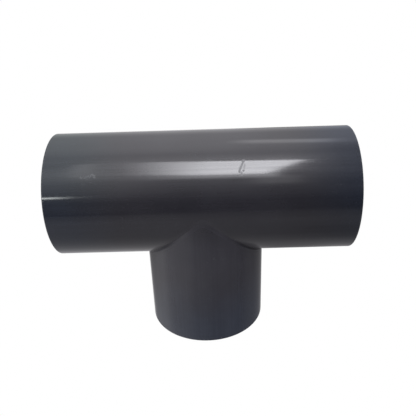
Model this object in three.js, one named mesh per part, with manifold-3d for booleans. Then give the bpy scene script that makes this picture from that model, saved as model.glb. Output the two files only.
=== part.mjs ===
// Equal tee for 4-inch irrigation pipe, fabricated from plain PVC tube: a run barrel with a V notch, a branch
// barrel mitred to fit it, one weld bead along the mitre, dressed flush, and a pipe stop ring in each socket.
//
// Millimetres, +Z up. The origin is the centre of the branch mouth's face, so the tee stands on its branch.
// The run lies along X. Its axis crosses the branch's axis at z = REACH, and each piece is made about that
// crossing, with the branch pointing down, before the group lifts it into place.
import * as THREE from "three";
import { mergeVertices } from "three/addons/utils/BufferGeometryUtils.js";
import Module from "manifold-3d";

// Sockets. Each one takes a pipe end, and tapers from a slip fit at its mouth to a press fit at its stop.
const PIPE_OD = 114.3;
const SOCKET_DEPTH = 92;
const MOUTH_SLACK = 0.6;
const ROOT_BITE = 0.4;
const LEAD_IN_DEPTH = 4;
const LEAD_IN_WIDTH = 1.6;
const RIM_ROUNDING = 0.8;

// Barrels. REACH is from the crossing of the axes to each of the three mouths.
const RUN_OD = 131.5;
const BRANCH_OD = 130.5;
const REACH = 156;

// Pipe stop rings.
const STOP_BORE = 102;
const STOP_WIDTH = 6;
const STOP_BEVEL = 1;

// Weld bead: a groove cut along the seam, filled, and blended into both barrels with a small fillet.
const WELD_RADIUS = 4.5;
const FILLET_RADIUS = 1.5;

// Clearance left between pieces that are bonded face to face.
const GAP = 0.3;

// Facets.
const BARREL_SIDES = 96;
const RING_SIDES = 64;
const SEAM_STATIONS = 92;
const GROOVE_FACETS = 6;
const OUTSIDE_FACETS = 3;
const FILLET_FACETS = 2;
const RIM_FACETS = 1;
const MITRE_FACETS = 33;
const CROWN_CROWDING = 0.3;

const RUN_RADIUS = RUN_OD / 2;
const BRANCH_RADIUS = BRANCH_OD / 2;
const MOUTH_RADIUS = (PIPE_OD + MOUTH_SLACK) / 2;
const ROOT_RADIUS = (PIPE_OD - ROOT_BITE) / 2;
const STOP_AT = REACH - SOCKET_DEPTH;
const MITRE_LIFT = GAP / Math.SQRT2;

// How far the seam's highest points, its front and back crowns, lie below the run's axis.
const CROWN_DROP = Math.sqrt(RUN_RADIUS ** 2 - BRANCH_RADIUS ** 2);
const MITRE_EXTENT = Math.asinh(REACH / CROWN_DROP);

const wasm = await Module();
wasm.setup();

// ---------------------------------------------------------------- solids

function solidOf(geometry) {
  const bare = new THREE.BufferGeometry();
  bare.setAttribute("position", geometry.getAttribute("position"));
  bare.setIndex(geometry.getIndex());
  const merged = mergeVertices(bare, 1e-4);
  const vertProperties = merged.getAttribute("position").array;
  const triVerts = new Uint32Array(merged.getIndex().array);
  return new wasm.Manifold(new wasm.Mesh({ numProp: 3, vertProperties, triVerts }));
}

function geometryOf(solid) {
  const mesh = solid.getMesh();
  const geometry = new THREE.BufferGeometry();
  geometry.setAttribute("position", new THREE.BufferAttribute(mesh.vertProperties, 3));
  geometry.setIndex(new THREE.BufferAttribute(mesh.triVerts, 1));
  return geometry;
}

// ---------------------------------------------------------------- turned pieces

// A closed outline in radius and distance along the axis, turned about Y. Outlines are drawn up the inside and
// down the outside, and are reversed here so that the faces point out.
function turned(outline, sides) {
  const closed = [...outline, outline[0].clone()].reverse();
  return new THREE.LatheGeometry(closed, sides);
}

// From the pipe stop out along the socket's bore to the mouth, over its rim and onto the barrel's outside.
function socketOutline(outerRadius) {
  const path = new THREE.Path().moveTo(ROOT_RADIUS, STOP_AT);
  path.lineTo(MOUTH_RADIUS, REACH - LEAD_IN_DEPTH);
  path.lineTo(MOUTH_RADIUS + LEAD_IN_WIDTH, REACH);
  path.lineTo(outerRadius - RIM_ROUNDING, REACH);
  path.absarc(outerRadius - RIM_ROUNDING, REACH - RIM_ROUNDING, RIM_ROUNDING, Math.PI / 2, 0, true);
  return path.getPoints(RIM_FACETS);
}

function runTube() {
  const socket = socketOutline(RUN_RADIUS);
  const farSocket = socket.map((p) => new THREE.Vector2(p.x, -p.y)).reverse();
  return turned([...socket, ...farSocket], BARREL_SIDES).rotateZ(-Math.PI / 2);
}

function branchTube() {
  const outside = new THREE.Vector2(BRANCH_RADIUS, 0);
  const inside = new THREE.Vector2(ROOT_RADIUS, 0);
  return turned([...socketOutline(BRANCH_RADIUS), outside, inside], BARREL_SIDES).rotateX(-Math.PI / 2);
}

// A flat ring whose outer face, at STOP_AT, is what the pipe end butts against.
function stopRing() {
  const outer = ROOT_RADIUS - GAP;
  const inner = STOP_BORE / 2;
  const back = STOP_AT - STOP_WIDTH;
  const outline = [
    new THREE.Vector2(inner, back + STOP_BEVEL),
    new THREE.Vector2(inner, STOP_AT - STOP_BEVEL),
    new THREE.Vector2(inner + STOP_BEVEL, STOP_AT),
    new THREE.Vector2(outer, STOP_AT),
    new THREE.Vector2(outer, back),
    new THREE.Vector2(inner + STOP_BEVEL, back),
  ];
  return turned(outline, RING_SIDES);
}

// ---------------------------------------------------------------- the mitre

// Where two crossed round bars of unlike radius meet, z squared less x squared is the same everywhere, so the
// mitre seen from the front is a hyperbola. Everything below it belongs to the branch.
function belowMitre(lift) {
  const outline = [];
  for (let i = 0; i <= MITRE_FACETS; i++) {
    const w = MITRE_EXTENT * ((2 * i) / MITRE_FACETS - 1);
    outline.push(new THREE.Vector2(CROWN_DROP * Math.sinh(w), lift - CROWN_DROP * Math.cosh(w)));
  }
  outline.push(new THREE.Vector2(REACH, -2 * REACH), new THREE.Vector2(-REACH, -2 * REACH));
  const depth = 2 * RUN_OD;
  const geometry = new THREE.ExtrudeGeometry(new THREE.Shape(outline), { depth, bevelEnabled: false });
  return geometry.translate(0, 0, -depth / 2).rotateX(Math.PI / 2);
}

// ---------------------------------------------------------------- the seam

// Stations round the branch. They crowd together at the two crowns, where the seam turns sharply.
function stationAngle(i) {
  const even = (2 * Math.PI * i) / SEAM_STATIONS;
  return even + CROWN_CROWDING * Math.sin(2 * even);
}

// The point at a given angle on the line where the two outer surfaces cross.
function seamPoint(angle) {
  const x = BRANCH_RADIUS * Math.cos(angle);
  const y = BRANCH_RADIUS * Math.sin(angle);
  return new THREE.Vector3(x, y, -Math.sqrt(RUN_RADIUS ** 2 - y ** 2));
}

// Moves a point straight onto the outside of the run, or of the branch.
function ontoRun(point) {
  const scale = RUN_RADIUS / Math.hypot(point.y, point.z);
  return point.multiply(new THREE.Vector3(1, scale, scale));
}

function ontoBranch(point) {
  const scale = BRANCH_RADIUS / Math.hypot(point.x, point.y);
  return point.multiply(new THREE.Vector3(scale, scale, 1));
}

// The plane across the seam at a station. Direction 0 points into the wall, +spread lies along the run's
// surface, and -spread along the branch's.
function seamPlane(angle) {
  const centre = seamPoint(angle);
  const runNormal = new THREE.Vector3(0, centre.y, centre.z).normalize();
  const branchNormal = new THREE.Vector3(centre.x, centre.y, 0).normalize();
  const inward = runNormal.clone().add(branchNormal).negate().normalize();
  const along = branchNormal.clone().cross(runNormal).normalize();
  const sideways = along.cross(inward);
  const spread = (Math.PI + runNormal.angleTo(branchNormal)) / 2;
  return { centre, inward, sideways, spread };
}

function arcInPlane(plane, radius, from, to, facets) {
  const points = [];
  for (let i = 0; i <= facets; i++) {
    const direction = from + ((to - from) * i) / facets;
    const point = plane.centre.clone();
    point.addScaledVector(plane.inward, radius * Math.cos(direction));
    point.addScaledVector(plane.sideways, radius * Math.sin(direction));
    points.push(point);
  }
  return points;
}

// The groove's section is a full circle, so that it cuts cleanly through both surfaces.
function grooveSection(angle) {
  const plane = seamPlane(angle);
  const radius = WELD_RADIUS + GAP;
  const inside = arcInPlane(plane, radius, -plane.spread, plane.spread, GROOVE_FACETS);
  const outside = arcInPlane(plane, radius, plane.spread, 2 * Math.PI - plane.spread, OUTSIDE_FACETS);
  return [...inside, ...outside.slice(1, -1)];
}

// The underside of a ball that rolls along the seam and touches both barrels, from the branch to the run.
function filletArc(angle) {
  const x = (BRANCH_RADIUS + FILLET_RADIUS) * Math.cos(angle);
  const y = (BRANCH_RADIUS + FILLET_RADIUS) * Math.sin(angle);
  const ball = new THREE.Vector3(x, y, -Math.sqrt((RUN_RADIUS + FILLET_RADIUS) ** 2 - y ** 2));
  const toBranch = ontoBranch(ball.clone()).sub(ball).normalize();
  const toRun = ontoRun(ball.clone()).sub(ball).normalize();
  const points = [];
  for (let i = 0; i <= FILLET_FACETS; i++) {
    const direction = toBranch.clone().lerp(toRun, i / FILLET_FACETS).normalize();
    points.push(ball.clone().addScaledVector(direction, FILLET_RADIUS));
  }
  return points;
}

// The bead's section fills the groove, lies flush with both barrels, and ends in the fillet.
function weldSection(angle) {
  const plane = seamPlane(angle);
  const root = arcInPlane(plane, WELD_RADIUS, plane.spread, -plane.spread, GROOVE_FACETS);
  ontoRun(root[0]);
  ontoBranch(root[GROOVE_FACETS]);
  return [...root, ...filletArc(angle)].reverse();
}

// Joins the same number of points at each station into one closed loop of a solid.
function sweptLoop(sectionAt) {
  const positions = [];
  const faces = [];
  let count = 0;
  for (let i = 0; i < SEAM_STATIONS; i++) {
    const section = sectionAt(stationAngle(i));
    count = section.length;
    for (const p of section) positions.push(p.x, p.y, p.z);
  }
  for (let i = 0; i < SEAM_STATIONS; i++) {
    for (let j = 0; j < count; j++) {
      const a = i * count + j;
      const b = i * count + ((j + 1) % count);
      const c = ((i + 1) % SEAM_STATIONS) * count + j;
      const d = ((i + 1) % SEAM_STATIONS) * count + ((j + 1) % count);
      faces.push(a, b, c, b, d, c);
    }
  }
  const geometry = new THREE.BufferGeometry();
  geometry.setAttribute("position", new THREE.Float32BufferAttribute(positions, 3));
  geometry.setIndex(faces);
  return geometry;
}

// ---------------------------------------------------------------- materials

// Dark grey pressure-pipe PVC. Tube, welding rod and machined rings differ a little in shade and gloss.
const tubePlastic = new THREE.MeshStandardMaterial({ color: 0x3a3c43, roughness: 0.25, metalness: 0 });
const weldPlastic = new THREE.MeshStandardMaterial({ color: 0x393b42, roughness: 0.32, metalness: 0 });
const ringPlastic = new THREE.MeshStandardMaterial({ color: 0x44474e, roughness: 0.45, metalness: 0 });

function piece(name, geometry, material) {
  const mesh = new THREE.Mesh(geometry, material);
  mesh.name = name;
  return mesh;
}

// ---------------------------------------------------------------- pieces

function runBarrel() {
  const notched = solidOf(runTube()).subtract(solidOf(belowMitre(MITRE_LIFT)));
  const grooved = notched.subtract(solidOf(sweptLoop(grooveSection)));
  return piece("run_barrel", geometryOf(grooved), tubePlastic);
}

function branchBarrel() {
  const mitred = solidOf(branchTube()).intersect(solidOf(belowMitre(-MITRE_LIFT)));
  const grooved = mitred.subtract(solidOf(sweptLoop(grooveSection)));
  return piece("branch_barrel", geometryOf(grooved), tubePlastic);
}

function seamWeld() {
  return piece("seam_weld", sweptLoop(weldSection), weldPlastic);
}

// The ring is turned about Y with its stop face towards +Y, and each copy is then turned to face its mouth.
function stopRings() {
  const left = piece("left_stop_ring", stopRing(), ringPlastic);
  const right = piece("right_stop_ring", stopRing(), ringPlastic);
  const branch = piece("branch_stop_ring", stopRing(), ringPlastic);
  left.rotation.z = Math.PI / 2;
  right.rotation.z = -Math.PI / 2;
  branch.rotation.x = -Math.PI / 2;
  return [left, right, branch];
}

const tee = new THREE.Group();
tee.position.z = REACH;
tee.add(runBarrel(), branchBarrel(), seamWeld(), ...stopRings());

export default tee;
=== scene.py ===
"""Looks of a plain equal tee for 4-inch irrigation pipe, fabricated from dark grey PVC tube.

Every piece is a fine loft that stands for its CAD node. Shapes are worked out about the crossing of the
run's axis and the branch's, with the branch pointing down, and lifted into the frame as they become meshes.
Lengths are in metres.
"""
import math
from functools import reduce

import bpy
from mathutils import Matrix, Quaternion, Vector


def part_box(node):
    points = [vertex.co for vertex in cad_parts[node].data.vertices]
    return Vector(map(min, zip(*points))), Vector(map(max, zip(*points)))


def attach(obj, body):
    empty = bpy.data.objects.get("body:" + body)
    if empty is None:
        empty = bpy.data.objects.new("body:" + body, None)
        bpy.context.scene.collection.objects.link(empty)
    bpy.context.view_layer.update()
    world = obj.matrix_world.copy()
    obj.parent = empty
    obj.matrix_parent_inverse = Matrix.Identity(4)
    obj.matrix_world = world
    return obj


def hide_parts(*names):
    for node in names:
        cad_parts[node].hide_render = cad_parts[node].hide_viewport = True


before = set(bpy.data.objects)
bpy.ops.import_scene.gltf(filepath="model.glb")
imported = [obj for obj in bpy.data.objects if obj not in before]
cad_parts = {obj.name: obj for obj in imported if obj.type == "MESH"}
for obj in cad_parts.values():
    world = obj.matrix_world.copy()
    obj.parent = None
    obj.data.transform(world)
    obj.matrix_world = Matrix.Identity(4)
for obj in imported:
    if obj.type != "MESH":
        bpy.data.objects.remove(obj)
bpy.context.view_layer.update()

MM = 0.001

# ---------------------------------------------------------------- sizes

_, run_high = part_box("run_barrel")
_, branch_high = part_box("branch_barrel")
ring_low, ring_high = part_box("right_stop_ring")

REACH = run_high.x
RUN_R = run_high.y
BRANCH_R = branch_high.y
AXIS_Z = run_high.z - RUN_R
STOP_AT = ring_high.x
STOP_BACK = ring_low.x

# The sockets suit this pipe. They taper from MOUTH_R, past a lead-in chamfer, to ROOT_R at the stop ring.
PIPE_OD = 114.3 * MM
MOUTH_R = (PIPE_OD + 0.6 * MM) / 2
ROOT_R = (PIPE_OD - 0.4 * MM) / 2
LEAD_IN_DEPTH = 4 * MM
LEAD_IN_WIDTH = 1.6 * MM

# Radii that break the edges.
RIM_ROUNDING = 0.8 * MM
LIP_ROUNDING = 0.35 * MM
LEAD_ROUNDING = 1.2 * MM
RING_BEVEL = 0.9 * MM
RING_EDGE = 0.3 * MM

# The weld along the mitre, and the hairlines between it and the barrels.
WELD_R = 4.5 * MM
FILLET_R = 1.5 * MM
HAIRLINE = 0.03 * MM

RING_OUTER = ROOT_R - HAIRLINE
RING_INNER = 51 * MM

# How finely the lofts are cut.
NOTCH_STATIONS = 112
TOP_STATIONS = 96
SEAM_STATIONS = 224
RING_STATIONS = 160
SKIN_STEPS = 12
SOCKET_STEPS = 6
THROAT_STEPS = 6
MITRE_STEPS = 3
STRIP_STEPS = 3
ARC_STEPS = 8
CORNER_STEPS = 4
CROWDING = 0.3

# Points this close are one vertex, and a turn this small, in radians, is no corner.
SAME_POINT = 1e-7
NO_TURN = 1e-6


def mix(a, b, share):
    return a + (b - a) * share


def spaced(count):
    """0 to 1 in that many equal steps."""
    return [i / count for i in range(count + 1)]


# ---------------------------------------------------------------- meshes


class Shell:
    """The faces of one piece. Points that coincide share a vertex, and every corner keeps its own normal."""

    def __init__(self):
        self.found = {}
        self.points = []
        self.faces = []
        self.normals = []

    def corner(self, point):
        key = tuple(round(c / SAME_POINT) for c in point)
        if key not in self.found:
            self.found[key] = len(self.points)
            self.points.append(point)
        return self.found[key]

    def face(self, corners):
        kept = []
        for point, normal in corners:
            number = self.corner(point)
            if number not in [k[0] for k in kept]:
                kept.append((number, normal))
        if len(kept) < 3:
            return
        a, b, c = (self.points[k[0]] for k in kept[:3])
        lie = (b - a).cross(c - b)
        if lie.dot(sum((n for _, n in kept), Vector())) < 0:
            kept.reverse()
        self.faces.append([k[0] for k in kept])
        self.normals.extend(n for _, n in kept)

    def strips(self, stations, closed=False):
        """Quads between neighbouring stations. Each station is the same number of (point, normal) pairs."""
        pairs = list(zip(stations, stations[1:]))
        if closed:
            pairs.append((stations[-1], stations[0]))
        for one, two in pairs:
            for a, b, c, d in zip(one, one[1:], two[1:], two):
                self.face([a, b, c, d])

    def mirrored(self, stations):
        flip = Vector((-1, 1, 1))
        self.strips([[(p * flip, n * flip) for p, n in station] for station in stations])

    def built(self, name):
        mesh = bpy.data.meshes.new(name)
        lift = Vector((0, 0, AXIS_Z))
        mesh.from_pydata([p + lift for p in self.points], [], self.faces)
        mesh.normals_split_custom_set([n.normalized() for n in self.normals])
        mesh.validate()
        piece = bpy.data.objects.new(name, mesh)
        bpy.context.scene.collection.objects.link(piece)
        return piece


def rounded(corners, closed=False):
    """A path through (along, radius, rounding), with arcs for corners. Its normals are on its left."""
    last = len(corners) - 1
    path = []
    for i, (t, r, rounding) in enumerate(corners):
        here = Vector((t, r))
        before = here - Vector(corners[i - 1][:2]) if closed or i > 0 else None
        after = Vector(corners[(i + 1) % (last + 1)][:2]) - here if closed or i < last else None
        d0 = (before or after).normalized()
        d1 = (after or before).normalized()
        turn = math.atan2(d0.x * d1.y - d0.y * d1.x, d0.dot(d1))
        side = math.copysign(1, turn)
        n0 = Vector((-d0.y, d0.x))
        start = here - d0 * rounding * math.tan(abs(turn) / 2)
        centre = start + n0 * rounding * side
        for share in spaced(CORNER_STEPS) if abs(turn) > NO_TURN else [0.0]:
            angle = turn * share
            normal = Vector((n0.x * math.cos(angle) - n0.y * math.sin(angle),
                             n0.x * math.sin(angle) + n0.y * math.cos(angle)))
            path.append((centre - normal * rounding * side, normal))
    if closed:
        path.append(path[0])
    return path


# ---------------------------------------------------------------- surfaces


def on_run(x, angle, radius):
    """Round the run's axis. Angle 0 is straight down, and a quarter turn is the back."""
    return Vector((x, radius * math.sin(angle), -radius * math.cos(angle)))


def on_branch(down, angle, radius):
    """Round the branch's axis. Angle 0 is towards +X."""
    return Vector((radius * math.cos(angle), radius * math.sin(angle), -down))


def run_normal(angle, along=0.0, out=1.0):
    return Vector((along, out * math.sin(angle), -out * math.cos(angle)))


def branch_normal(angle, along=0.0, out=1.0):
    return Vector((out * math.cos(angle), out * math.sin(angle), -along))


def crowded(angle):
    """Stations crowd together at the seam's front and back crowns, where it turns sharply."""
    return angle + CROWDING * math.sin(2 * angle)


def crossing(angle, branch_radius, run_radius):
    """At an angle round the branch, the point where bars of those radii along the two axes meet."""
    y = branch_radius * math.sin(angle)
    return Vector((branch_radius * math.cos(angle), y, -math.sqrt(run_radius ** 2 - y ** 2)))


def throat_point(angle):
    """Where the two bores meet. They have one radius, so it is a pair of flat curves."""
    return Vector((ROOT_R * math.cos(angle), ROOT_R * math.sin(angle), -ROOT_R * abs(math.cos(angle))))


def onto_run(p):
    scale = RUN_R / math.hypot(p.y, p.z)
    return Vector((p.x, p.y * scale, p.z * scale))


def onto_branch(p):
    scale = BRANCH_R / math.hypot(p.x, p.y)
    return Vector((p.x * scale, p.y * scale, p.z))


def seam_frame(angle):
    """The seam's point, the direction into the wall, the sideways one, and the turn to the run's surface."""
    centre = crossing(angle, BRANCH_R, RUN_R)
    n_run = Vector((0, centre.y, centre.z)).normalized()
    n_branch = Vector((centre.x, centre.y, 0)).normalized()
    inward = -(n_run + n_branch).normalized()
    sideways = n_branch.cross(n_run).normalized().cross(inward)
    return centre, inward, sideways, (math.pi + n_run.angle(n_branch)) / 2


def groove_arc(angle, radius, start, end):
    """(point, direction from the seam) round the seam, from one turn to another."""
    centre, inward, sideways, _ = seam_frame(angle)
    arc = []
    for share in spaced(ARC_STEPS):
        turn = mix(start, end, share)
        direction = inward * math.cos(turn) + sideways * math.sin(turn)
        arc.append((centre + direction * radius, direction))
    return arc


def wall_and_groove(angle, side):
    """From the throat along the mitre, then round the groove to the outside of the run (1) or branch (-1)."""
    centre, inward, sideways, spread = seam_frame(angle)
    throat = throat_point(angle)
    if side < 0:
        throat.z -= HAIRLINE
    inner = throat - centre
    start = math.atan2(inner.dot(sideways), inner.dot(inward))
    arc = [(p, -d) for p, d in groove_arc(angle, WELD_R + HAIRLINE, start, side * spread)]
    fit = onto_run if side > 0 else onto_branch
    arc[-1] = (fit(arc[-1][0]), arc[-1][1])
    facing = Vector((0, 0, -side))
    wall = [(mix(throat, arc[0][0], share), facing) for share in spaced(MITRE_STEPS)]
    return wall, arc


def mouth_path(outer):
    """Over the rim, across the sawn face and down the lead-in chamfer into the socket."""
    return rounded([
        (STOP_AT, outer, 0),
        (REACH, outer, RIM_ROUNDING),
        (REACH, MOUTH_R + LEAD_IN_WIDTH, LIP_ROUNDING),
        (REACH - LEAD_IN_DEPTH, MOUTH_R, LEAD_ROUNDING),
        (STOP_AT, ROOT_R, 0),
    ])[1:-1]


def socket_path(throat):
    """(along, radius) from below the chamfer to the stop, and on to the throat."""
    top = REACH - LEAD_IN_DEPTH - LEAD_ROUNDING
    socket = [(mix(top, STOP_AT, s), mix(MOUTH_R, ROOT_R, s)) for s in spaced(SOCKET_STEPS)]
    return socket + [(mix(STOP_AT, throat, s), ROOT_R) for s in spaced(THROAT_STEPS)[1:]]


def barrel_station(edge, skin_angle, mouth_angle, throat, throat_angle, outer, place, normal):
    """Outside from the seam to the mouth, over the mouth, and inside to the throat, turning as it goes."""
    rim = REACH - RIM_ROUNDING
    station = []
    for share in spaced(SKIN_STEPS)[:-1]:
        angle = mix(skin_angle, mouth_angle, share)
        station.append((place(mix(edge, rim, share), angle, outer), normal(angle)))
    for point, out in mouth_path(outer):
        station.append((place(point.x, mouth_angle, point.y), normal(mouth_angle, out.x, out.y)))
    path = socket_path(throat)
    for t, r in path[1:]:
        angle = mix(mouth_angle, throat_angle, (path[0][0] - t) / (path[0][0] - throat))
        station.append((place(t, angle, r), normal(angle, 0.0, -1.0)))
    return station


# ---------------------------------------------------------------- barrels


def run_barrel():
    """One half of the run is made and mirrored. Its notch is below, and the rest closes over the top."""
    shell = Shell()
    skins, walls, grooves = [], [], []
    for share in spaced(NOTCH_STATIONS):
        even = math.pi * (share - 0.5)
        angle = crowded(even)
        wall, groove = wall_and_groove(angle, 1)
        edge = groove[-1][0]
        skins.append(barrel_station(edge.x, math.atan2(edge.y, -edge.z), even,
                                    throat_point(angle).x, angle, RUN_R, on_run, run_normal))
        walls.append(wall)
        grooves.append(groove)
    crown = grooves[-1][-1][0]
    crown_angle = math.atan2(crown.y, -crown.z)
    for share in spaced(TOP_STATIONS)[1:-1]:
        even = mix(math.pi / 2, math.pi * 1.5, share)
        skin_angle = mix(crown_angle, 2 * math.pi - crown_angle, share)
        skins.append(barrel_station(0.0, skin_angle, even, 0.0, even, RUN_R, on_run, run_normal))
    for make in (shell.strips, shell.mirrored):
        make(skins + skins[:1])
        make(walls)
        make(grooves)
    return shell.built("run_barrel_tube")


def branch_barrel():
    shell = Shell()
    skins, walls, grooves = [], [], []
    for share in spaced(SEAM_STATIONS)[:-1]:
        even = 2 * math.pi * share
        angle = crowded(even)
        wall, groove = wall_and_groove(angle, -1)
        edge = groove[-1][0]
        turn = math.atan2(edge.y, edge.x)
        turn += 2 * math.pi * round((angle - turn) / (2 * math.pi))
        skins.append(barrel_station(-edge.z, turn, even, -wall[0][0].z, angle, BRANCH_R,
                                    on_branch, branch_normal))
        walls.append(wall)
        grooves.append(groove)
    for stations in (skins, walls, grooves):
        shell.strips(stations, closed=True)
    return shell.built("branch_barrel_tube")


# ---------------------------------------------------------------- weld


def weld_station(angle):
    """Flush strip on the run, fillet, flush strip on the branch, then back round inside the groove.

    Neighbouring bands share their end points exactly, which closes the bead.
    """
    _, _, _, spread = seam_frame(angle)
    inside = groove_arc(angle, WELD_R, -spread, spread)
    inside[0] = (onto_branch(inside[0][0]), inside[0][1])
    inside[-1] = (onto_run(inside[-1][0]), inside[-1][1])
    run_edge, branch_edge = inside[-1][0], inside[0][0]

    # A ball of the fillet's radius that touches both skins rests on them at its feet.
    ball = crossing(angle, BRANCH_R + FILLET_R, RUN_R + FILLET_R)
    foot_run, foot_branch = onto_run(ball), onto_branch(ball)
    on_the_run = [onto_run(mix(run_edge, foot_run, s)) for s in spaced(STRIP_STEPS)]
    on_the_run[0] = run_edge
    on_the_branch = [onto_branch(mix(foot_branch, branch_edge, s)) for s in spaced(STRIP_STEPS)]
    on_the_branch[-1] = branch_edge
    fillet = []
    for share in spaced(ARC_STEPS):
        direction = (foot_run - ball).normalized().slerp((foot_branch - ball).normalized(), share)
        fillet.append((ball + direction * FILLET_R, -direction))
    fillet[0] = (on_the_run[-1], fillet[0][1])
    fillet[-1] = (on_the_branch[0], fillet[-1][1])
    return (
        [(p, Vector((0, p.y, p.z)).normalized()) for p in on_the_run],
        fillet,
        [(p, Vector((p.x, p.y, 0)).normalized()) for p in on_the_branch],
        inside,
    )


def seam_weld():
    shell = Shell()
    stations = [weld_station(crowded(2 * math.pi * s)) for s in spaced(SEAM_STATIONS)[:-1]]
    for band in zip(*stations):
        shell.strips(list(band), closed=True)
    return shell.built("seam_weld_bead")


# ---------------------------------------------------------------- stop rings


def stop_ring(name, turned):
    """A flat ring with its face at STOP_AT. turned lays a point on the run's +X axis onto the ring's own."""
    outline = rounded([
        (STOP_BACK, RING_INNER, RING_BEVEL),
        (STOP_BACK, RING_OUTER, RING_EDGE),
        (STOP_AT, RING_OUTER, RING_EDGE),
        (STOP_AT, RING_INNER, RING_BEVEL),
    ], closed=True)
    stations = []
    for share in spaced(RING_STATIONS)[:-1]:
        angle = 2 * math.pi * share
        stations.append([
            (turned @ on_run(p.x, angle, p.y), turned @ run_normal(angle, n.x, n.y)) for p, n in outline
        ])
    shell = Shell()
    shell.strips(stations, closed=True)
    return shell.built(name)


TO_LEFT = Quaternion((0, 0, 1), math.pi)
TO_RIGHT = Quaternion()
TO_BRANCH = Quaternion((0, 1, 0), math.pi / 2)

# ---------------------------------------------------------------- node helpers


class Nodes:
    """Short calls for building one node tree. A value is a socket or a constant."""

    def __init__(self, tree):
        self.tree = tree
        self.tree.nodes.clear()

    def add(self, kind, inputs=None, **settings):
        node = self.tree.nodes.new(kind)
        for key, value in settings.items():
            setattr(node, key, value)
        for key, value in (inputs or {}).items():
            self.put(node.inputs[key], value)
        return node

    def put(self, socket, value):
        if isinstance(value, bpy.types.NodeSocket):
            self.tree.links.new(value, socket)
        else:
            socket.default_value = value

    def math(self, operation, *values):
        node = self.add("ShaderNodeMath", operation=operation)
        for socket, value in zip(node.inputs, values):
            self.put(socket, value)
        return node.outputs[0]

    def total(self, *values):
        return reduce(lambda a, b: self.math("ADD", a, b), values)

    def product(self, *values):
        return reduce(lambda a, b: self.math("MULTIPLY", a, b), values)

    def largest(self, *values):
        return reduce(lambda a, b: self.math("MAXIMUM", a, b), values)

    def weighted(self, *terms):
        """The sum of (value, weight) pairs."""
        return self.total(*[self.product(value, weight) for value, weight in terms])

    def away(self, value, centre):
        return self.math("ABSOLUTE", self.math("SUBTRACT", value, centre))

    def vector(self, operation, *values):
        node = self.add("ShaderNodeVectorMath", operation=operation)
        sockets = [node.inputs[0], node.inputs["Scale"]] if operation == "SCALE" else node.inputs
        for socket, value in zip(sockets, values):
            self.put(socket, value)
        return node.outputs["Value" if operation in ("DOT_PRODUCT", "LENGTH", "DISTANCE") else "Vector"]

    def split(self, vector):
        return self.add("ShaderNodeSeparateXYZ", {0: vector}).outputs

    def ramp(self, value, low, high, to_low=0.0, to_high=1.0, smooth=True):
        node = self.add("ShaderNodeMapRange", interpolation_type="SMOOTHSTEP" if smooth else "LINEAR")
        for key, number in zip(("Value", "From Min", "From Max", "To Min", "To Max"),
                               (value, low, high, to_low, to_high)):
            self.put(node.inputs[key], number)
        return node.outputs[0]

    def curve(self, value, stops):
        """A brightness through (value, brightness) stops, taken from a colour ramp."""
        low, high, most = stops[0][0], stops[-1][0], max(stop[1] for stop in stops)
        node = self.add("ShaderNodeValToRGB", {0: self.ramp(value, low, high, smooth=False)})
        elements = node.color_ramp.elements
        elements.remove(elements[-1])
        for number, (at, level) in enumerate(stops):
            if number:
                elements.new((at - low) / (high - low))
            elements[number].position = (at - low) / (high - low)
            elements[number].color = (level / most, level / most, level / most, 1)
        return self.product(node.outputs["Color"], most)

    def noise(self, vector, scale, detail, roughness=0.5, distortion=0.0):
        node = self.add("ShaderNodeTexNoise", {
            "Vector": vector, "Scale": scale, "Detail": detail, "Roughness": roughness,
            "Distortion": distortion,
        })
        return node.outputs["Fac"]

    def blend(self, share, a, b):
        node = self.add("ShaderNodeMix", data_type="RGBA")
        self.put(node.inputs[0], share)
        self.put(node.inputs[6], a)
        self.put(node.inputs[7], b)
        return node.outputs[2]

    def surface(self, shader):
        self.add("ShaderNodeOutputMaterial", {"Surface": shader.outputs[0]})


def material(name):
    made = bpy.data.materials.new(name)
    made.use_nodes = True
    return made, Nodes(made.node_tree)


# ---------------------------------------------------------------- plastic

DARK = (0.0114, 0.0108, 0.0148, 1)
PALE = (0.0142, 0.0136, 0.0180, 1)
COOL_DARK = (0.0094, 0.0116, 0.0190, 1)
COOL_PALE = (0.0118, 0.0144, 0.0228, 1)
TURNED = (0.034, 0.035, 0.038, 1)
WORN = (0.060, 0.062, 0.068, 1)
PLASTIC_IOR = 1.5

# The cooler colour comes this far in from a mouth, less at the end on the positive side, and clouds push
# its edge about.
COOL_BREADTH = 70 * MM
COOL_HOLDBACK = 25 * MM
COOL_DRIFT = 30 * MM

# Painted light: the branch's colour is this much lighter than the run's, for the light that falls on its
# front.
BRANCH_PAINTED_LIGHT = 1.5

# Full strength covers this share of a stroke's width.
STROKE_CORE = 0.35

# The turning marks on a ring are a wave of this many radians to the metre, outwards from its axis.
TURNING_RATE = 14000.0


def shaded_point(n):
    """The point being shaded, from the frame's origin and from the crossing of the two axes."""
    place = n.add("ShaderNodeTexCoord").outputs["Object"]
    return place, n.vector("SUBTRACT", place, (0, 0, AXIS_Z))


def off_axis(n, parts, axis):
    """The distance from the run's axis (0) or the branch's (2)."""
    across = [part for i, part in enumerate(parts) if i != axis]
    return n.math("SQRT", n.total(*[n.product(part, part) for part in across]))


def drawn_out(n, about, axis, squeeze):
    """Coordinates for a pattern that is stretched along the axis."""
    factors = [1.0, 1.0, 1.0]
    factors[axis] = squeeze
    return n.vector("MULTIPLY", about, factors)


def plastic(n, colour, rough, height, **others):
    """The shader that every piece ends in. Height is the relief, in metres."""
    bump = n.add("ShaderNodeBump", {"Strength": 1.0, "Distance": 1.0, "Height": height})
    n.surface(n.add("ShaderNodeBsdfPrincipled", {
        "Base Color": colour, "Roughness": rough, "IOR": PLASTIC_IOR, "Normal": bump.outputs[0], **others,
    }))


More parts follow.
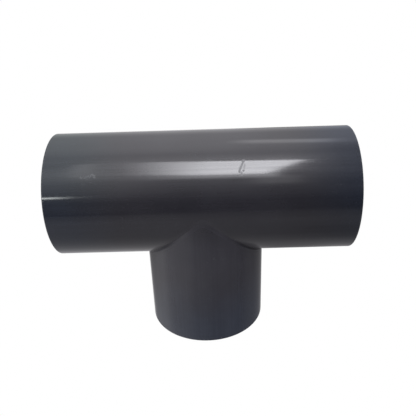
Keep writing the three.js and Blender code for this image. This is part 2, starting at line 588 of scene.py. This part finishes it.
def stroke(n, place, width, *spots):
    """1 on a thin line on the run's outside. A spot is millimetres along it and degrees above its front."""
    points = []
    for along, degrees in spots:
        angle = math.radians(degrees)
        points.append(Vector((along * MM, -RUN_R * math.cos(angle), AXIS_Z + RUN_R * math.sin(angle))))
    distances = []
    for a, b in zip(points, points[1:]):
        along = b - a
        offset = n.vector("SUBTRACT", place, a)
        share = n.math("DIVIDE", n.vector("DOT_PRODUCT", offset, along), along.length_squared)
        share = n.ramp(share, 0.0, 1.0, smooth=False)
        distances.append(n.vector("DISTANCE", offset, n.vector("SCALE", along, share)))
    nearest = reduce(lambda a, b: n.math("MINIMUM", a, b), distances)
    return n.ramp(nearest, width * STROKE_CORE, width, 1.0, 0.0)


def gouge(n, place):
    """Right of the middle: one slanting gouge, a pit, and a fainter stroke above and below the pit."""
    slash = stroke(n, place, 1.7 * MM, (41.5, 48.0), (39.5, 43.5), (37.5, 40.0), (37.3, 38.0))
    pit = stroke(n, place, 1.6 * MM, (41.2, 39.2), (41.0, 38.8))
    above = stroke(n, place, 1.4 * MM, (42.7, 44.5), (41.7, 41.5))
    below = stroke(n, place, 1.4 * MM, (39.2, 37.5), (39.1, 35.5))
    return n.largest(slash, pit, n.product(n.largest(above, below), 0.7))


def scuff(n, place, about):
    """Near the left end: a rubbed squiggle with two fainter touches under it, broken up by noise."""
    squiggle = stroke(n, place, 2.6 * MM, (-116.5, 37.0), (-111.0, 36.5), (-106.0, 38.5), (-103.8, 37.3))
    rub = stroke(n, place, 1.4 * MM, (-116.0, 31.0), (-111.5, 30.5))
    chips = stroke(n, place, 1.0 * MM, (-108.5, 32.5), (-104.5, 31.5))
    patches = n.ramp(n.noise(about, scale=380, detail=3, roughness=0.7), 0.38, 0.56)
    return n.product(n.largest(squiggle, n.product(n.largest(rub, chips), 0.4)), patches)


def handling_scratches(n, about):
    """Thin level sets of a stretched noise, kept where another noise is high."""
    bent = n.vector("MULTIPLY", about, (1.0, 2.2, 1.6))
    wander = n.noise(bent, scale=55, detail=2, roughness=0.4, distortion=1.2)
    thin = n.ramp(n.away(wander, 0.5), 0.0, 0.0035, 1.0, 0.0)
    handled = n.ramp(n.noise(about, scale=34, detail=3, roughness=0.6), 0.55, 0.68)
    return n.product(thin, handled)


def tube_plastic(name, axis, painted_light):
    """Extruded tube. Draw lines and streaks run along the axis, 0 for the run and 2 for the branch."""
    made, n = material(name)
    place, about = shaded_point(n)
    parts = n.split(about)
    along = n.math("ABSOLUTE", parts[axis])

    # Masks: the bore, the sawn face, and the rim just outside it.
    chamfer_edge = MOUTH_R + LEAD_IN_WIDTH
    bore = n.ramp(off_axis(n, parts, axis), chamfer_edge + 0.6 * MM, chamfer_edge)
    sawn = n.ramp(along, REACH - 0.12 * MM, REACH - 0.02 * MM)
    near_rim = n.ramp(along, REACH - 2.5 * MM, REACH - 0.3 * MM)

    # Patterns.
    streaks = n.noise(drawn_out(n, about, axis, 0.02), scale=420, detail=4, roughness=0.6)
    smears = n.noise(drawn_out(n, about, axis, 0.12), scale=90, detail=5, roughness=0.6, distortion=0.4)
    clouds = n.noise(about, scale=22, detail=4, roughness=0.55, distortion=0.3)
    grain = n.noise(about, scale=2600, detail=2, roughness=0.6)
    specks = n.ramp(n.noise(about, scale=900, detail=1), 0.73, 0.80)
    chafing = n.ramp(n.noise(about, scale=190, detail=4, roughness=0.7), 0.42, 0.66)
    scratches = handling_scratches(n, about)
    saw = n.add("ShaderNodeTexWave", {
        "Vector": about, "Scale": 420, "Distortion": 2.0, "Detail": 2.0, "Detail Scale": 1.5,
    }, bands_direction="DIAGONAL").outputs["Fac"]

    # Colour: cloudy and streaked, cooler towards the mouths, lighter down the branch as painted light, darker
    # towards the run's right end, and pale where it is scratched, chafed or sawn.
    shade = n.ramp(n.weighted((clouds, 0.6), (streaks, 0.4)), 0.38, 0.62)
    later = n.ramp(parts[axis], 0.0, 60 * MM, 0.0, COOL_HOLDBACK)
    end = n.math("SUBTRACT", n.total(along, n.product(clouds, COOL_DRIFT)), later)
    end = n.ramp(end, REACH - COOL_BREADTH, REACH + 5 * MM)
    colour = n.blend(end, n.blend(shade, DARK, PALE), n.blend(shade, COOL_DARK, COOL_PALE))
    # Painted light: away from the crossing the colour is scaled by the given factor, which lightens the
    # branch.
    tone = n.ramp(along, 5 * MM, 45 * MM, 1.0, painted_light)
    tone = n.product(tone, n.ramp(parts[axis], 50 * MM, 120 * MM, 1.0, 0.8))
    colour = n.vector("SCALE", colour, tone)
    colour = n.blend(n.product(scratches, 0.35), colour, WORN)
    colour = n.blend(n.product(specks, 0.4), colour, WORN)
    chafed = n.largest(n.product(near_rim, chafing, 0.5), n.product(sawn, 0.55))
    colour = n.blend(chafed, colour, WORN)

    # Roughness: polished, and dull in the bore and where it is worn.
    rough = n.ramp(n.weighted((smears, 0.4), (streaks, 0.6)), 0.38, 0.62, 0.08, 0.13)
    rough = n.total(rough, n.weighted((scratches, 0.12), (specks, 0.1), (bore, 0.14)))
    rough = n.largest(rough, n.product(chafed, 0.85))

    # Relief, in metres.
    height = n.weighted((streaks, 2e-5), (clouds, 6e-5), (smears, 2e-6), (grain, 3e-7), (scratches, -4e-6),
                        (n.product(saw, sawn), 2.5e-5))

    if axis == 0:
        gouged = gouge(n, place)
        scuffed = scuff(n, place, about)
        colour = n.blend(n.product(scuffed, 0.5), colour, WORN)
        rough = n.total(rough, n.weighted((gouged, 0.24), (scuffed, 0.2)))
        height = n.total(height, n.product(gouged, -1.5e-5))

    plastic(n, colour, rough, height)
    return made


def weld_plastic(name):
    """Dressed and polished filler: much like the tube, without draw lines, and with faint file strokes."""
    made, n = material(name)
    _, about = shaded_point(n)
    x, y, _ = n.split(about)
    clouds = n.noise(about, scale=30, detail=4, roughness=0.55, distortion=0.3)
    ripple = n.noise(about, scale=160, detail=3, roughness=0.6, distortion=0.5)
    filed = n.noise(n.vector("MULTIPLY", about, (0.25, 1.0, 1.4)), scale=700, detail=3, roughness=0.6)

    # How far the surface stands off the run's skin and off the branch's.
    off_run = n.math("SUBTRACT", n.vector("LENGTH", n.vector("MULTIPLY", about, (0, 1, 1))), RUN_R)
    off_branch = n.math("SUBTRACT", n.vector("LENGTH", n.vector("MULTIPLY", about, (1, 1, 0))), BRANCH_R)

    # Painted shade darkens the crease of the fillet, most of all on the right, and fades out at the front and
    # back.
    within = n.ramp(n.largest(off_run, off_branch), 0.9 * MM, 2.0 * MM, 1.0, 0.0)
    crease = n.product(within, n.ramp(n.math("ABSOLUTE", y), 0.80 * BRANCH_R, 0.95 * BRANCH_R, 1.0, 0.0))
    right_crease_shade = n.product(crease, n.ramp(x, 0.4 * BRANCH_R, 0.9 * BRANCH_R))

    # Painted light: the weld's colour lightens towards the branch's side, as the branch's colour does.
    tone = n.ramp(n.math("SUBTRACT", off_run, off_branch), -2 * MM, 2 * MM, 1.0, 1.45)
    tone = n.product(tone, n.ramp(crease, 0.0, 1.0, 1.0, 0.9, smooth=False),
                     n.ramp(right_crease_shade, 0.0, 1.0, 1.0, 0.5, smooth=False))
    colour = n.vector("SCALE", n.blend(n.ramp(clouds, 0.35, 0.65), DARK, PALE), tone)
    rough = n.ramp(n.weighted((ripple, 0.6), (filed, 0.4)), 0.35, 0.65, 0.13, 0.22)
    rough = n.total(rough, n.product(crease, 0.25))
    # Painted shade: the crease reflects less, most of all on the right.
    polish = n.ramp(crease, 0.0, 1.0, 0.5, 0.25, smooth=False)
    polish = n.total(polish, n.product(right_crease_shade, -0.17))
    height = n.weighted((ripple, 1.6e-5), (filed, 2e-6))
    plastic(n, colour, rough, height, **{"Specular IOR Level": polish})
    return made


def ring_plastic(name, axis):
    """Turned from thick tube, so its faces carry fine rings about its own axis."""
    made, n = material(name)
    _, about = shaded_point(n)
    radius = off_axis(n, n.split(about), axis)
    wobble = n.noise(about, scale=60, detail=3, roughness=0.6)
    turning = n.math("SINE", n.weighted((radius, TURNING_RATE), (wobble, 5.0)))
    smears = n.noise(about, scale=130, detail=4, roughness=0.6, distortion=0.5)
    colour = n.blend(n.ramp(smears, 0.35, 0.65), PALE, TURNED)
    rough = n.ramp(smears, 0.3, 0.7, 0.34, 0.5)
    plastic(n, colour, rough, n.weighted((turning, 3e-6), (smears, 2e-5)))
    return made


# ---------------------------------------------------------------- pieces


def placed(piece, node, finish):
    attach(piece, "root")
    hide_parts(node)
    piece.data.materials.append(finish)


placed(run_barrel(), "run_barrel", tube_plastic("run_tube", 0, 1.0))
placed(branch_barrel(), "branch_barrel", tube_plastic("branch_tube", 2, BRANCH_PAINTED_LIGHT))
placed(seam_weld(), "seam_weld", weld_plastic("dressed_weld"))
for ring_name, node_name, turned, ring_axis in (
    ("left_stop_ring_turned", "left_stop_ring", TO_LEFT, 0),
    ("right_stop_ring_turned", "right_stop_ring", TO_RIGHT, 0),
    ("branch_stop_ring_turned", "branch_stop_ring", TO_BRANCH, 2),
):
    placed(stop_ring(ring_name, turned), node_name, ring_plastic(ring_name, ring_axis))

# ---------------------------------------------------------------- floor

FLOOR_SIZE = 60.0
FLOOR_DROP = 0.5 * MM


def flat_card(name, centre, right, up, width, height):
    """A rectangle facing right x up. Its UV runs from 0 to 1 across and up."""
    corners = [(-0.5, -0.5), (0.5, -0.5), (0.5, 0.5), (-0.5, 0.5)]
    points = [centre + right * (u * width) + up * (v * height) for u, v in corners]
    mesh = bpy.data.meshes.new(name)
    mesh.from_pydata(points, [], [(0, 1, 2, 3)])
    layer = mesh.uv_layers.new(name="card")
    for loop, (u, v) in zip(layer.data, corners):
        loop.uv = (u + 0.5, v + 0.5)
    card = bpy.data.objects.new(name, mesh)
    bpy.context.scene.collection.objects.link(card)
    return card


def floor():
    """Plain and pale. It glows, so it takes no shadow, and the plastic mirrors the room in its place."""
    card = flat_card("floor", Vector((0, 0, -FLOOR_DROP)), Vector((1, 0, 0)), Vector((0, 1, 0)),
                     FLOOR_SIZE, FLOOR_SIZE)
    made, n = material("pale_floor")
    n.surface(n.add("ShaderNodeEmission", {"Color": (1, 1, 1, 1), "Strength": 1.0}))
    card.data.materials.append(made)
    card.visible_glossy = False


# ---------------------------------------------------------------- room
#
# Two measures place a direction. Over is its height in degrees: 0 in front of the object, 90 overhead, 180
# or -180 behind it, and -90 below. Sideways is the direction's x: -1 to the left and 1 to the right.

# Brightness by height, in the middle.
BY_HEIGHT = [
    (-180, 0.75), (-115, 0.53), (-70, 0.42), (-35, 0.50), (-21, 0.34), (-15, 0.13), (5, 0.19), (20, 0.47),
    (30, 0.72), (40, 0.98), (52, 1.60), (75, 1.80), (83, 2.10), (92, 1.90), (102, 2.20), (112, 2.20),
    (124, 1.85), (134, 1.55), (150, 0.98), (180, 0.75),
]

# How that changes sideways, above the horizon and below it.
ABOVE = [
    (-0.5, 0.70), (-0.31, 0.80), (-0.10, 1.0), (0.03, 1.0), (0.14, 0.86), (0.21, 0.76), (0.30, 0.60),
    (0.6, 0.60), (1.0, 0.7),
]
BELOW = [
    (-1.0, 1.9), (-0.77, 1.8), (-0.5, 1.5), (-0.3, 1.1), (-0.1, 1.05), (0.0, 0.98), (0.1, 0.90), (0.2, 0.82),
    (0.35, 0.77), (0.5, 0.8), (0.64, 0.74), (0.8, 0.64), (1.0, 0.45),
]

# A glow on the left, by height.
LEFT_GLOW = [
    (-180, 0), (-18, 0), (-12, 0.16), (5, 0.12), (20, 0.30), (36, 0.42), (62, 0.48), (78, 0), (180, 0),
]

# The share of light that the floor loses, sideways, beyond the object and under it.
FAR_LOSS = [
    (-1.0, 0.46), (-0.5, 0.46), (-0.3, 0.0), (0.03, 0.0), (0.12, 0.55), (0.18, 0.42), (0.24, 0.15),
    (0.32, 0.15), (0.5, 0.45), (1.0, 0.45),
]
NEAR_LOSS = [(-1.0, 0.0), (0.05, 0.0), (0.14, 0.12), (0.2, 0.2), (0.28, 0.2), (0.36, 0.0), (1.0, 0.0)]

# The wall just above the soft box catches some of its light: by height, and sideways.
LINTEL_HEIGHT = [
    (-180, 0), (64, 0), (70, 0.6), (76, 0.9), (79, 1.0), (82, 0.7), (85, 0.3), (88, 0.2), (93, 0), (180, 0),
]
LINTEL_SPREAD = [
    (-1.0, 0), (-0.30, 0), (-0.20, 0.4), (-0.12, 0.6), (-0.02, 0.45), (0.07, 0.7), (0.13, 1.0), (0.175, 0.7),
    (0.21, 0.2), (0.25, 0), (1.0, 0),
]

# Tints of the light in the middle, high on the left and high on the right.
MIDDLE_TINT = (1.0, 0.985, 1.015, 1)
LEFT_TINT = (0.95, 1.0, 0.98, 1)
RIGHT_TINT = (0.925, 0.975, 1.13, 1)


def broad_light(n, over, sideways):
    """The walls, ceiling and floor, with a glow on the left and a patch under the soft box."""
    above, below = n.curve(sideways, ABOVE), n.curve(sideways, BELOW)
    low = n.product(n.ramp(over, -24.0, -14.0, 1.0, 0.0), n.ramp(over, -150.0, -120.0))
    spread = n.total(above, n.product(low, n.math("SUBTRACT", below, above)))
    glow = n.product(n.curve(over, LEFT_GLOW), n.ramp(sideways, -0.26, -0.06, 1.0, 0.0))
    patch = n.product(n.ramp(n.away(over, 39.0), 4.0, 11.0, 1.0, 0.0),
                      n.ramp(n.away(sideways, 0.125), 0.03, 0.06, 0.8, 0.0))
    return n.total(n.product(n.curve(over, BY_HEIGHT), spread), glow, patch)


def dimmed(n, over, sideways, light):
    """A dim corner on the right, and dim floor beyond the object's sides and under its right."""
    corner = n.product(n.ramp(over, 20.0, 32.0), n.ramp(over, 104.0, 118.0, 1.0, 0.0),
                       n.ramp(sideways, 0.18, 0.27))
    light = n.product(light, n.ramp(corner, 0.0, 1.0, 1.0, 0.68, smooth=False))
    far = n.product(n.ramp(over, -88.0, -132.0), n.curve(sideways, FAR_LOSS))
    near = n.product(n.ramp(over, -42.0, -60.0), n.ramp(over, -100.0, -82.0), n.curve(sideways, NEAR_LOSS))
    for loss in (far, near):
        light = n.product(light, n.math("SUBTRACT", 1.0, loss))
    return light


def accents(n, over, sideways):
    """The lintel, a faint strip high behind, and a thin bright slit low on the left."""
    lintel = n.product(n.curve(over, LINTEL_HEIGHT), n.curve(sideways, LINTEL_SPREAD))
    aside = n.math("DEGREES", n.math("ARCSINE", sideways))
    leaning = n.total(over, n.product(aside, 0.3))
    strip = n.product(n.ramp(n.away(leaning, 121.5), 1.0, 8.0, 1.5, 0.0),
                      n.ramp(n.away(aside, 8.3), 3.5, 7.0, 1.0, 0.0))
    sloping = n.total(over, n.product(aside, -0.1))
    slit = n.product(n.ramp(n.away(sloping, 17.7), 0.0, 2.0, 20.0, 0.0),
                     n.ramp(aside, -20.8, -16.0, 1.0, 0.0), n.ramp(aside, -33.0, -26.0))
    return n.total(lintel, strip, slit)


def room():
    """A pale room that the plastic mirrors. The camera sees plain white in its place."""
    world = bpy.data.worlds.new("studio")
    bpy.context.scene.world = world
    world.use_nodes = True
    n = Nodes(world.node_tree)
    sideways, y, z = n.split(n.add("ShaderNodeTexCoord").outputs["Generated"])
    over = n.math("DEGREES", n.math("ARCTAN2", z, n.product(y, -1.0)))
    light = dimmed(n, over, sideways, broad_light(n, over, sideways))
    light = n.total(light, accents(n, over, sideways))

    high = n.ramp(over, -20.0, 10.0)
    tint = n.blend(n.product(n.ramp(sideways, -0.16, -0.30), high), MIDDLE_TINT, LEFT_TINT)
    tint = n.blend(n.product(n.ramp(sideways, 0.14, 0.26), high), tint, RIGHT_TINT)

    seen = n.add("ShaderNodeLightPath").outputs["Is Camera Ray"]
    strength = n.add("ShaderNodeMix", {0: seen, 2: light, 3: 1.0}, data_type="FLOAT")
    back = n.add("ShaderNodeBackground", {
        "Color": n.blend(seen, tint, (1, 1, 1, 1)), "Strength": strength.outputs[0],
    })
    n.add("ShaderNodeOutputWorld", {"Surface": back.outputs[0]})


# ---------------------------------------------------------------- soft box

# How high it stands over the front, how far from the run and along it, and its size.
BOX_ELEVATION = math.radians(58.25)
BOX_DISTANCE = 1.2
BOX_X = -0.125
BOX_WIDTH = 0.95
BOX_HEIGHT = 0.791
BOX_COLOUR = (0.968, 0.965, 1.012, 1)


def soft_box():
    """One large light above the front. Its left end is veiled, and its right end is cut on a slant."""
    outwards = Vector((0, -math.cos(BOX_ELEVATION), math.sin(BOX_ELEVATION)))
    up = Vector((0, math.sin(BOX_ELEVATION), math.cos(BOX_ELEVATION)))
    centre = Vector((BOX_X, 0.0, AXIS_Z)) + outwards * BOX_DISTANCE
    card = flat_card("soft_box", centre, Vector((1, 0, 0)), up, BOX_WIDTH, BOX_HEIGHT)
    made, n = material("soft_box")
    uv = n.add("ShaderNodeTexCoord").outputs["UV"]
    u, v, _ = n.split(uv)

    # The outline: a slanted right end, a top edge that falls to the right, and a sill with an apron below.
    cut = n.ramp(n.math("SUBTRACT", u, n.product(v, 0.215)), 0.769, 0.777, 1.0, 0.0)
    top = n.ramp(n.total(v, n.product(u, 0.16)), 1.053, 1.067, 1.0, 0.0)
    sill = n.ramp(u, 0.42, 0.62, 0.325, 0.257)
    pane = n.ramp(n.math("SUBTRACT", v, sill), -0.01, 0.02)
    apron = n.product(n.ramp(v, 0.04, 0.20, 0.0, 0.30, smooth=False), n.ramp(u, 0.84, 0.90, 1.0, 0.0))
    outline = n.product(n.largest(n.product(pane, cut), apron), top)

    # The power: more to the right and less to the top, with soft bars, one joint and the veil.
    rise = n.product(n.ramp(u, 0.35, 0.90, 9.3, 12.0), n.ramp(v, 0.25, 0.95, 1.08, 0.97, smooth=False))
    bars = n.noise(n.vector("MULTIPLY", uv, (0.08, 1.0, 0.0)), scale=13, detail=2, roughness=0.6)
    joint = n.ramp(n.away(v, 0.52), 0.0, 0.07, 0.92, 1.0)
    halo = n.ramp(n.away(u, 0.17), 0.01, 0.07, 0.12, 0.0)
    veil = n.total(n.ramp(u, 0.15, 0.25, 0.0, 0.035), n.ramp(u, 0.283, 0.660, 0.0, 0.965))
    power = n.product(outline, rise, n.ramp(bars, 0.38, 0.62, 0.90, 1.10), joint, n.total(halo, veil))

    glow = n.add("ShaderNodeEmission", {"Color": BOX_COLOUR, "Strength": power})
    clear = n.add("ShaderNodeBsdfTransparent")
    n.surface(n.add("ShaderNodeAddShader", {0: glow.outputs[0], 1: clear.outputs[0]}))
    card.data.materials.append(made)
    card.visible_camera = False


floor()
room()
soft_box()

# ---------------------------------------------------------------- camera

# The sensor and the lens are in millimetres, as Blender counts them.
SENSOR_WIDTH = 36
FOCAL_LENGTH = 41.5
CAMERA_AT = Vector((0.01397, -0.48434, 0.36724))
CAMERA_AIM = Vector((0.00456, 0, 0.13365))
CAMERA_ROLL = math.radians(-2.045)

lens = bpy.data.cameras.new("camera")
lens.sensor_width = SENSOR_WIDTH
lens.lens = FOCAL_LENGTH
camera = bpy.data.objects.new("camera", lens)
bpy.context.scene.collection.objects.link(camera)
bpy.context.scene.camera = camera
camera.location = CAMERA_AT
camera.rotation_mode = "QUATERNION"
level = (CAMERA_AIM - CAMERA_AT).to_track_quat("-Z", "Y")
camera.rotation_quaternion = level @ Quaternion((0, 0, 1), CAMERA_ROLL)
bpy.context.scene.view_settings.view_transform = "Standard"
